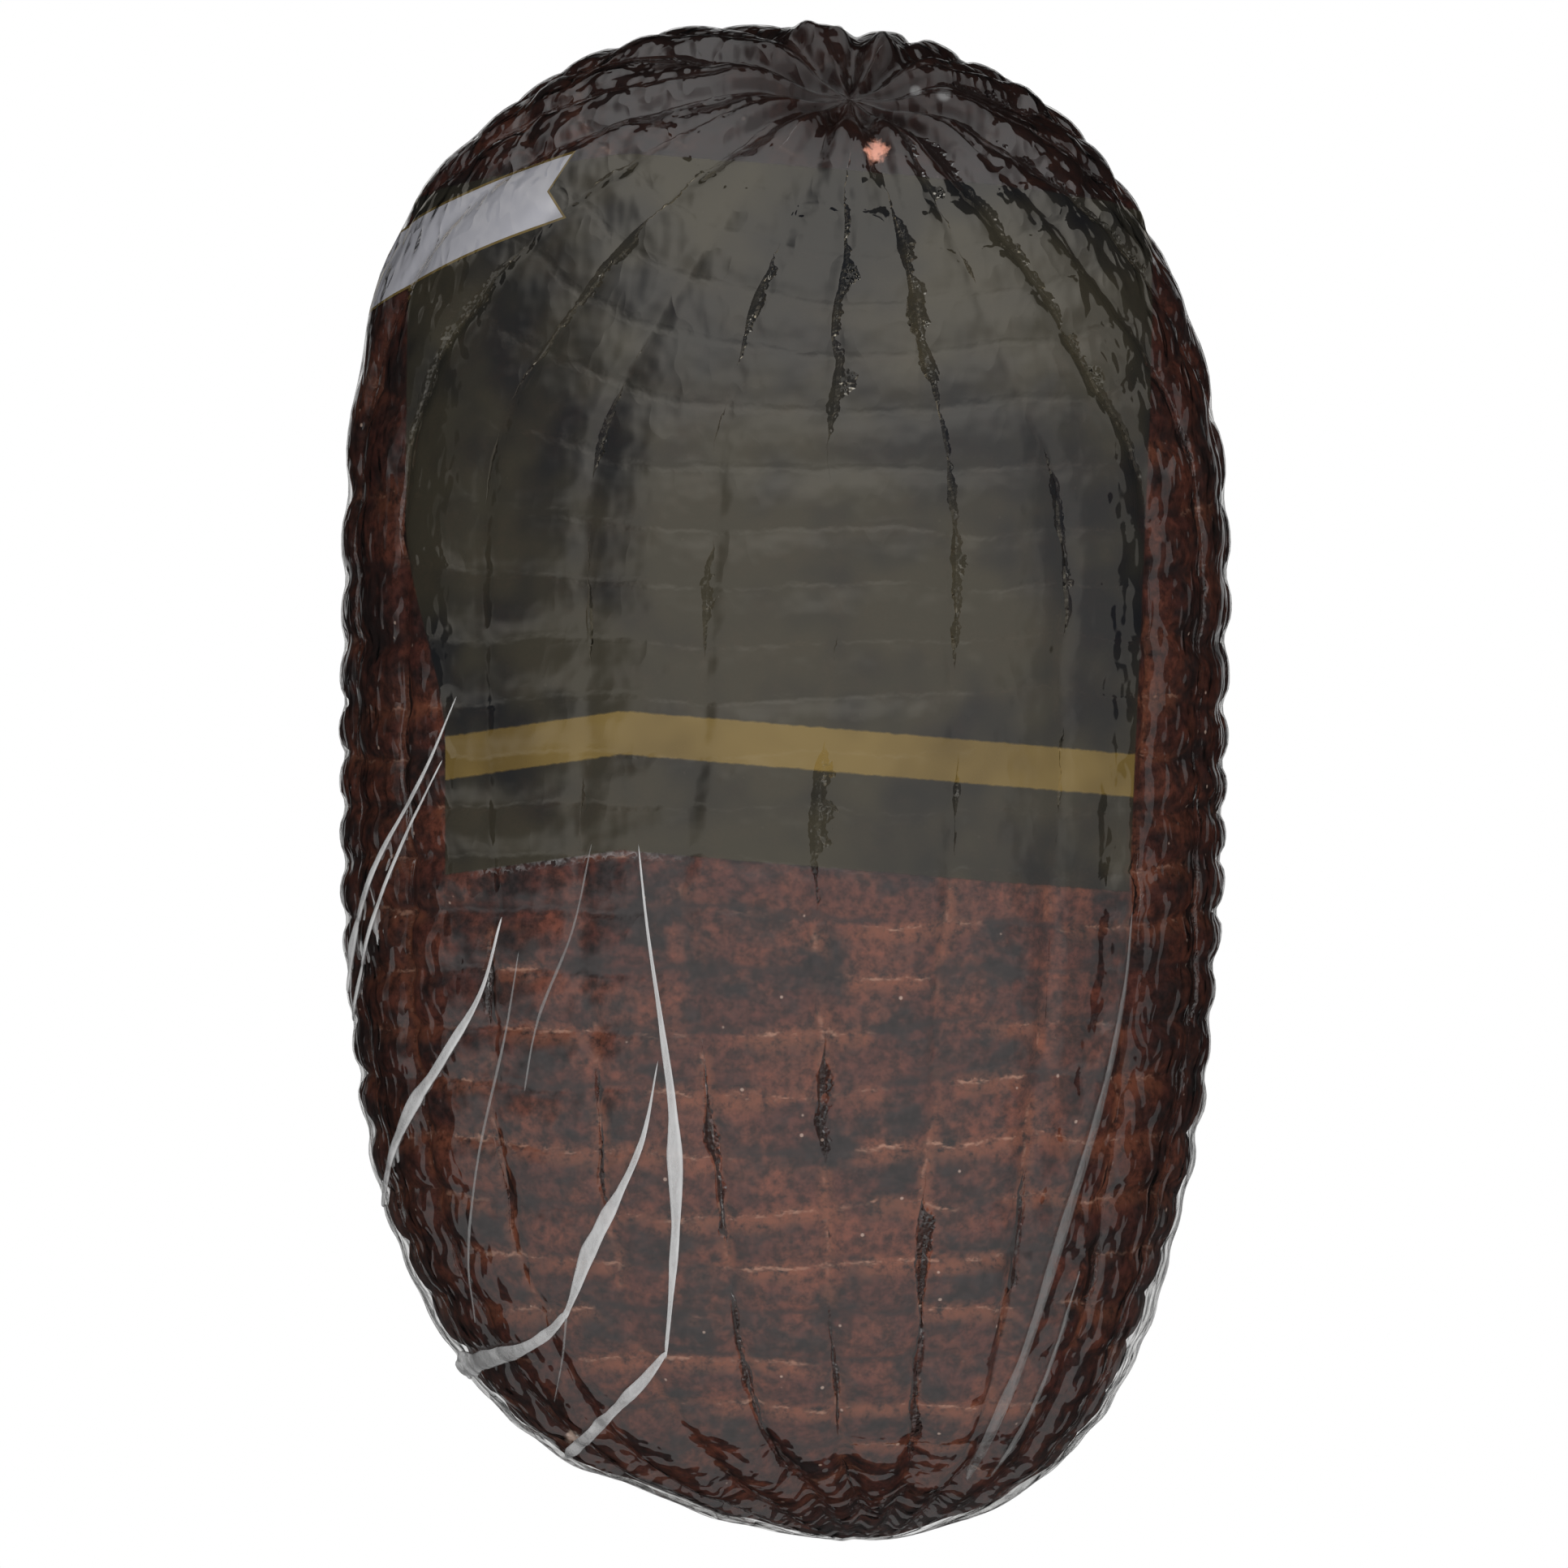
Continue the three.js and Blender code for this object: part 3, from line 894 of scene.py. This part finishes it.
# The heights of the film's fine shape, in millimetres.
CRUMPLE_ON_TOP_MM, CRUMPLE_AT_SIDES_MM, CRUMPLE_AT_GATHER_MM, CRUMPLE_MOST_MM = 0.5, 6.5, 1.5, 6.0
RIPPLE_MM = 0.5
RING_DIP_MM = 0.06
CRACK_STEEPNESS = 1.5


def film_bump(s, place):
    """The film's fine shape: sharp crumples, cracks on the net's lines, and ripples."""
    line, ring, wander = net_offsets(s, place)
    at_sides = s.step(s.uv("stand")[1], 0.10, 0.75)
    strength = s.plus(CRUMPLE_ON_TOP_MM, s.times(at_sides, CRUMPLE_AT_SIDES_MM),
                      s.times(near_gather(s), CRUMPLE_AT_GATHER_MM))
    strength = s.math("MINIMUM", strength, CRUMPLE_MOST_MM)
    drawn = s.mapped(place, (1, 0.5, 1))
    crumple = s.amount(s.minus(s.noise(drawn, 105, 2, 0.55), 0.5))
    height = s.times(crumple, strength, -1.0)
    height = s.plus(height, s.times(s.noise(place, 170, 1, 0.5), RIPPLE_MM))
    crack = s.times(crack_depth(s, line, wander), LINE_PITCH_MM * CRACK_STEEPNESS)
    height = s.minus(height, crack)
    height = s.minus(height, s.times(ridge(s, ring, 0.0, 0.10), RING_DIP_MM))
    return s.bump(height, 1.0, MM)


def clear_body(s, haze, white=FILM_WHITE):
    """What is seen through the film, whitened by haze from 0 to 1."""
    clear = s.node("ShaderNodeBsdfTransparent", {"Color": FILM_TINT}).outputs[0]
    return s.blend(haze, clear, s.diffuse(grey(white)))


def sheen_at_gather(s):
    """Less sheen where the film is drawn so tight at the gather that no air is left behind it."""
    loose = s.step(s.uv("net")[1], 0.8, 2.6)
    return s.times(s.plus(0.5, s.times(loose, 0.5)), FILM_SHEEN)


def under_gloss(s, body, bump, roughness, tint=grey(1.0), sheen=FILM_SHEEN):
    """A body under a glossy surface, which mirrors more and more towards its edges."""
    gloss = s.node("ShaderNodeBsdfGlossy", {"Color": tint, "Roughness": roughness, "Normal": bump})
    away = s.node("ShaderNodeLayerWeight", {"Blend": 0.5, "Normal": bump}).outputs["Facing"]
    rising = s.times(s.math("POWER", away, 5.0), 1 - FILM_SHEEN)
    return s.blend(s.plus(rising, sheen), body, gloss.outputs[0])


def film_material():
    """Clear glossy film with the translucent print on its inside."""
    s = new_material("shrink_film")
    place = s.object_place()
    ragged = s.noise(place, 500, 2, 0.6)
    ink, cover = film_inks(s, place, ragged)
    haze = s.plus(s.times(s.uv("stand")[0], SLACK_HAZE), FILM_HAZE,
                  s.times(worn_foot(s, ragged), WORN_HAZE))
    for drop in PALE_DROPS:
        haze = s.plus(haze, s.times(lone_spot(s, place, drop), DROP_HAZE))
    body = s.blend(cover, clear_body(s, haze), s.diffuse(ink))
    tint = s.mix(cover, grey(1.0), PRINTED_GLOSS)
    bump = film_bump(s, place)
    return s.finish(under_gloss(s, body, bump, FILM_ROUGHNESS, tint, sheen_at_gather(s)))


def folded_film_material(name, base, edge_share, streak_share):
    """Film folded on itself: whitened by its layers, brightest along its two edges."""
    s = new_material(name)
    streaks = s.noise(s.mapped(s.object_place(), (1, 0.22, 1)), 420, 3, 0.65)
    edge = s.math("POWER", s.amount(s.uv("fold")[0]), 6.0)
    haze = s.plus(s.times(edge, edge_share), s.times(streaks, streak_share), base)
    bump = s.bump(streaks, 0.6, 0.5 * MM)
    return s.finish(under_gloss(s, clear_body(s, haze, FOLD_WHITE), bump, FOLD_ROUGHNESS))


def tail_material():
    """The flat tail: nearly clear, whitened along its seal and its cut edge."""
    s = new_material("tail_film")
    place = s.object_place()
    patches = s.step(s.noise(place, 60, 4, 0.6), 0.35, 0.75)
    haze = s.plus(s.times(s.uv("fold")[0], 0.22), s.times(patches, 0.10))
    crumple = s.amount(s.minus(s.noise(place, 90, 3, 0.5, 0.5), 0.5))
    return s.finish(under_gloss(s, clear_body(s, haze), s.bump(crumple, 1.0, 6 * MM), TAIL_ROUGHNESS))


def make_film(blank, row, column):
    film = shaped_body("shrink_film", blank, row, column, FILM_MM, BAG_LOW.z)
    across, up = print_layout(vertex_places(film))
    write_uv(film, "layout", across, up)
    film.data.materials.clear()
    film.data.materials.append(film_material())
    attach(film, "root")
    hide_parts("shrink_bag")
    return film


# ---------------------------------------------------------------- the bag's pleats and tails

# Each pleat's places across and along the ham, with its half-width there, in millimetres.
PLEATS = {
    "pleat_middle": ((-29.5, -12, 0.12), (-27.5, -30, 0.25), (-24.5, -50, 0.5), (-22.5, -64, 1.0),
                     (-21.5, -78, 1.45), (-21.8, -92, 1.0), (-23, -106, 0.6), (-24.2, -118, 0.45)),
    "pleat_foot": ((-23.8, -116, 0.5), (-28, -122, 0.9), (-34, -128.5, 1.25), (-39, -134, 1.0),
                   (-43, -138.5, 1.2), (-45.5, -141.2, 0.4)),
    "pleat_branch": ((-25.5, -56, 0.12), (-28.5, -72, 0.4), (-33.5, -84, 1.0), (-39, -95, 1.35),
                     (-42.5, -104, 0.9), (-45, -110, 0.6)),
    "pleat_corner": ((-44, -108, 0.5), (-48, -113, 1.0), (-54, -117, 1.6), (-61, -120, 1.9),
                     (-65.5, -122.5, 2.5), (-69, -125, 0.9)),
    "pleat_side": ((-57.5, -27, 0.15), (-62, -43, 0.4), (-70, -57, 1.1), (-77, -68, 1.35),
                   (-81.5, -78, 0.9), (-84.5, -90, 0.7)),
    "pleat_edge": ((-70, 5, 0.12), (-79, -13, 0.3), (-86, -31, 0.4), (-90.5, -50, 0.4)),
    "pleat_shoulder": ((-67, 18, 0.1), (-74, 2, 0.3), (-84, -16, 0.5), (-89, -30, 0.9),
                       (-91.5, -44, 0.7)),
}
CLEAR_FOLDS = {
    "crease_long": ((-54, -34, 0.1), (-57, -52, 0.22), (-62.5, -76, 0.26), (-65, -97, 0.22),
                    (-64, -112, 0.12)),
    "crease_short": ((-39, -12, 0.1), (-43, -30, 0.22), (-50, -48, 0.24), (-53, -63, 0.12)),
    "crease_corner": ((-44.5, -109, 0.2), (-45.5, -118, 0.2), (-47.5, -128, 0.08)),
    "fold_right": ((71.5, -26, 0.15), (70, -42, 0.5), (66, -62, 0.9), (58.5, -88, 1.4),
                   (50, -116, 1.6), (43, -134, 1.4), (38, -145, 0.5)),
    "fold_right_low": ((61, -100, 0.2), (55, -120, 0.7), (49, -134, 0.8), (43, -144, 0.3)),
}
# How white each kind of fold is: all over, more at its edges, and more in its streaks.
WHITE_FOLD = (0.10, 0.34, 0.50)
CLEAR_FOLD = (0.0, 0.10, 0.08)
PLEAT_SIDES = 12
PLEAT_STEPS = 90
PLEAT_KNOTS = 14  # the places along it where its width is drawn by chance
PLEAT_UNEVENNESS = 0.28
THINNEST_MM = 0.06

# The tails, as angles from an end's tip down under it and to each side.
TAIL_FOLD = math.radians(20)
TAIL_EDGE = math.radians(51)
TAIL_SPREAD = math.radians(33)
TAIL_TAPER = 0.10
TAIL_CELLS = (96, 44)
TAIL_WALL = 0.25 * MM
SEAL_FROM, SEAL_TO, SEAL_EDGE = 0.70, 0.84, 0.02
SEAL_RIBS = 4


def film_surface(film, across, along):
    """The film's point and normal straight below a place seen from above."""
    hit, place, normal, _ = film.ray_cast(Vector((across, along, 1)), Vector((0, 0, -1)))
    if hit:
        return place, normal
    hit, place, normal, _ = film.closest_point_on_mesh(Vector((across, along, WIDEST_Z)))
    return place, normal


def join_to_bag(piece, material):
    """Finishes a mesh as a part of the one bag."""
    face_outwards(piece)
    piece.data.materials.append(material)
    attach(piece, "root")


def uneven_widths(route):
    """How much wider or narrower than its route says a pleat is at each of its steps."""
    seed = int(abs(route[0][0]) + abs(route[-1][1]))
    drawn = np.random.default_rng(seed).uniform(-1, 1, PLEAT_KNOTS)
    knots = np.linspace(0, PLEAT_KNOTS - 1, PLEAT_STEPS + 1)
    return 1 + PLEAT_UNEVENNESS * np.interp(knots, np.arange(PLEAT_KNOTS), drawn)


def pleat_track(film, line):
    """Places on the film along a pleat, with the film's normal and the pleat's side at each."""
    spots = [film_surface(film, x * MM, y * MM) for x, y, _ in line]
    places = np.array([spot[0] for spot in spots])
    normals = np.array([spot[1] for spot in spots])
    for _ in range(3):
        normals[1:-1] = (normals[:-2] + normals[1:-1] + normals[2:]) / 3
    sides = np.cross(np.gradient(places, axis=0), normals)
    return places, normals, sides / np.linalg.norm(sides, axis=1, keepdims=True)


def make_pleat(film, name, route, material):
    """A flap of the film folded flat on itself, tapering away at both ends."""
    deselect_all()
    bpy.ops.mesh.primitive_uv_sphere_add(segments=PLEAT_SIDES, ring_count=PLEAT_STEPS, radius=1)
    pleat = bpy.context.object
    pleat.name = pleat.data.name = name
    line = smooth_route(route, PLEAT_STEPS + 1)
    uneven = uneven_widths(route)
    places, normals, sides = pleat_track(film, line)
    edges = []
    for vertex in pleat.data.vertices:
        at = int(round(math.acos(max(-1, min(1, vertex.co.z))) / math.pi * PLEAT_STEPS))
        around = math.atan2(vertex.co.y, vertex.co.x)
        inner = 0 < at < PLEAT_STEPS
        taper = min(1, 8 * math.sin(math.pi * at / PLEAT_STEPS)) ** 0.5 if inner else 0
        half = max(line[at][2], THINNEST_MM) * MM * taper * uneven[at]
        lean = 0.35 * half * (1 + math.sin(around))
        rise = (0.12 * MM + 0.42 * half) * (0.55 + math.sin(around))
        offset = sides[at] * (half * math.cos(around) + lean) + normals[at] * rise
        vertex.co = Vector(places[at] + offset)
        edges.append(math.cos(around))
    drop_uvs(pleat)
    write_uv(pleat, "fold", np.array(edges), np.array(edges))
    join_to_bag(pleat, material)


def tail_surface(side, down, end):
    """Places and normals of the smooth outside under one end, across and down the tail."""
    corner = 1 - TAIL_TAPER * np.clip((np.abs(side) - 0.75) / 0.25, 0, 1) ** 2
    under = TAIL_FOLD + (TAIL_EDGE - TAIL_FOLD) * down * corner
    turn = TAIL_SPREAD * side * (1 - TAIL_TAPER * down)
    y, z = end * np.cos(under), -np.sin(under)
    direction = np.stack([-y * np.sin(turn), y * np.cos(turn), z], axis=-1)
    step = 1e-3
    place = skin_point(direction)
    sideways = skin_point(direction + [step, 0, 0]) - skin_point(direction - [step, 0, 0])
    onward = skin_point(direction + [0, step, 0]) - skin_point(direction - [0, step, 0])
    normal = np.cross(sideways, onward)
    normal /= np.linalg.norm(normal, axis=1, keepdims=True)
    normal *= np.sign((normal * (place - [0, WIDEST_Y, WIDEST_Z])).sum(axis=1, keepdims=True))
    return place, normal


def make_tail(name, end, seed, material):
    """The bag's flat sealed tail, folded under one end: ribbed along its seal, and wavy."""
    deselect_all()
    across, along = TAIL_CELLS
    bpy.ops.mesh.primitive_grid_add(x_subdivisions=across, y_subdivisions=along, size=2)
    tail = bpy.context.object
    tail.name = tail.data.name = name
    co = vertex_places(tail)
    side, down = co[:, 0], (co[:, 1] + 1) / 2
    place, normal = tail_surface(side, down, end)
    waves = soft_noise(side * 0.5, 0.2 + 0.6 * down, 14, 5, seed)
    waves = waves + 0.6 * soft_noise(side * 0.5, 0.5 + 0.3 * down, 41, 4, seed + 1)
    sealing = smoothstep(down, SEAL_FROM - SEAL_EDGE, SEAL_FROM)
    sealing = sealing * (1 - smoothstep(down, SEAL_TO, SEAL_TO + SEAL_EDGE))
    ribs = np.cos(2 * math.pi * SEAL_RIBS * (down - SEAL_FROM) / (SEAL_TO - SEAL_FROM)) * sealing
    lift_mm = 0.25 + 1.1 * down + 0.8 * down * waves + 0.12 * ribs
    place = place + normal * (lift_mm * MM)[:, None]
    place[:, 2] = np.maximum(place[:, 2], BAG_LOW.z)
    tail.data.vertices.foreach_set("co", place.ravel())
    tail.data.update()
    drop_uvs(tail)
    write_uv(tail, "fold", np.where(np.abs(side) > 0.97, 1.0, 0.5 * sealing), down)
    wall = tail.modifiers.new("film", "SOLIDIFY")
    wall.thickness, wall.offset = TAIL_WALL, 0
    bpy.ops.object.modifier_apply(modifier=wall.name)
    join_to_bag(tail, material)


def make_folds(film):
    white = folded_film_material("folded_film", *WHITE_FOLD)
    for name, route in PLEATS.items():
        make_pleat(film, name, route, white)
    clear = folded_film_material("rolled_film", *CLEAR_FOLD)
    for name, route in CLEAR_FOLDS.items():
        make_pleat(film, name, route, clear)
    make_tail("tail_gathered_end", 1, 51, tail_material())
    make_tail("tail_round_end", -1, 61, tail_material())


# ---------------------------------------------------------------- studio

VIEW_OVER_LENGTH = 1.0376  # the side of what the camera sees, in lengths of the ham
OVERHEAD_RADIANCE = 1.3

# What the glossy film reflects: an even tent above the horizon, dim below it, and pale underneath.
TENT_RADIANCE = 0.296
DIM_RADIANCE = 0.0024
UNDER_RADIANCE = 0.32

# Parts of the tent: a direction, the facings at which the part begins and is full, and an amount.
FAR_BOX = ((0.05, 0.9, 0.45), 0.45, 0.92, 0.288)  # more light from beyond the gathered end
LEFT_GAP = ((-0.85, 0.36, 0.40), 0.72, 0.95, 0.85)
RIGHT_GAP = ((0.97, -0.05, 0.20), 0.86, 0.98, 0.35)
LOWER_EDGES = (
    ((-0.48, 0.88, 0), 0.72, 0.96, 0.60),  # at the left shoulder
    ((0.30, 0.95, 0), 0.80, 0.96, -0.17),  # higher beyond the gathered end
    ((0.80, 0.60, 0), 0.80, 0.97, 0.26),  # at the right shoulder
)
LOWER_AT_ROUND_END = 0.42

# What lights the pieces by soft scatter from all round: from below, and how much more from above.
SCATTER_BELOW, SCATTER_MORE_ABOVE = 0.072, 0.60


def make_camera():
    camera = bpy.data.objects.new("camera", bpy.data.cameras.new("camera"))
    bpy.context.scene.collection.objects.link(camera)
    camera.data.lens = 200
    camera.data.sensor_width = 36
    distance = LENGTH * VIEW_OVER_LENGTH * camera.data.lens / camera.data.sensor_width
    camera.location = (0, 0, WIDEST_Z + distance)
    camera.data.clip_end = 20
    bpy.context.scene.camera = camera


def softbox(name, size, place, aim, radiance):
    """A rectangular light of even radiance. Reflections see the tent in its place."""
    light = bpy.data.lights.new(name, "AREA")
    light.shape = "RECTANGLE"
    light.size, light.size_y = size
    light.energy = radiance * math.pi * size[0] * size[1]
    box = bpy.data.objects.new(name, light)
    bpy.context.scene.collection.objects.link(box)
    box.location = place
    box.rotation_euler = (Vector(aim) - Vector(place)).to_track_quat("-Z", "Y").to_euler()
    box.visible_camera = False
    box.visible_glossy = False


def make_floor():
    """An evenly glowing floor. The ham neither mirrors it nor is lit by it."""
    deselect_all()
    bpy.ops.mesh.primitive_plane_add(size=12, location=(0, 0, BAG_LOW.z))
    floor = bpy.context.object
    floor.name = "floor"
    s = new_material("pale_floor")
    orange_and_lit_edge = s.node("ShaderNodeEmission", {"Color": grey(1.0), "Strength": 1.0}).outputs[0]
    floor.data.materials.append(s.finish(orange_and_lit_edge))
    floor.visible_glossy = False
    floor.visible_diffuse = False


def tent_part(s, direction, towards, outer, inner, amount):
    """An amount in the directions near to one, fading out round them."""
    return s.times(s.step(s.facing(direction, towards), outer, inner), amount)


def reflected_light(s, direction):
    """The tent that the glossy film mirrors, with its gaps and its uneven lower edge."""
    _, along, up = s.split(direction)
    nearer = s.larger(s.times(along, -1.0), 0.0)
    lower = [tent_part(s, direction, *edge) for edge in LOWER_EDGES]
    level = s.plus(up, s.times(nearer, LOWER_AT_ROUND_END), *lower)
    gaps = s.times(s.rest(tent_part(s, direction, *LEFT_GAP)),
                   s.rest(tent_part(s, direction, *RIGHT_GAP)))
    tent = s.plus(s.times(gaps, TENT_RADIANCE), tent_part(s, direction, *FAR_BOX))
    under = s.times(s.step(up, -0.93, -0.995), UNDER_RADIANCE)
    return s.plus(s.times(tent, s.step(level, 0.0, 0.05)), s.plus(under, DIM_RADIANCE))


def make_world():
    """White all round for the eye, soft light for the pieces, and the tent for what they mirror."""
    world = bpy.data.worlds.new("studio")
    bpy.context.scene.world = world
    s = Shader(world, "ShaderNodeOutputWorld")
    direction = s.node("ShaderNodeTexCoord").outputs["Generated"]
    up = s.split(direction)[2]
    path = s.node("ShaderNodeLightPath").outputs
    scattered = s.plus(SCATTER_BELOW, s.times(s.step(up, -0.05, 0.40), SCATTER_MORE_ABOVE))
    strength = s.choose(path["Is Glossy Ray"], scattered, reflected_light(s, direction))
    strength = s.choose(path["Is Camera Ray"], strength, 1.0)
    background = s.node("ShaderNodeBackground", {"Color": grey(1.0), "Strength": strength})
    return s.finish(background.outputs[0])


def make_studio():
    middle = (0, 0, WIDEST_Z)
    softbox("overhead", (2.2, 2.6), (0.15, -0.1, 1.15), middle, OVERHEAD_RADIANCE)
    make_floor()
    make_world()
    bpy.context.scene.view_settings.view_transform = "Standard"


def make_all():
    make_camera()
    blank, row, column = net_round()
    make_ham(blank, row, column)
    make_folds(make_film(blank, row, column))
    make_studio()


make_all()
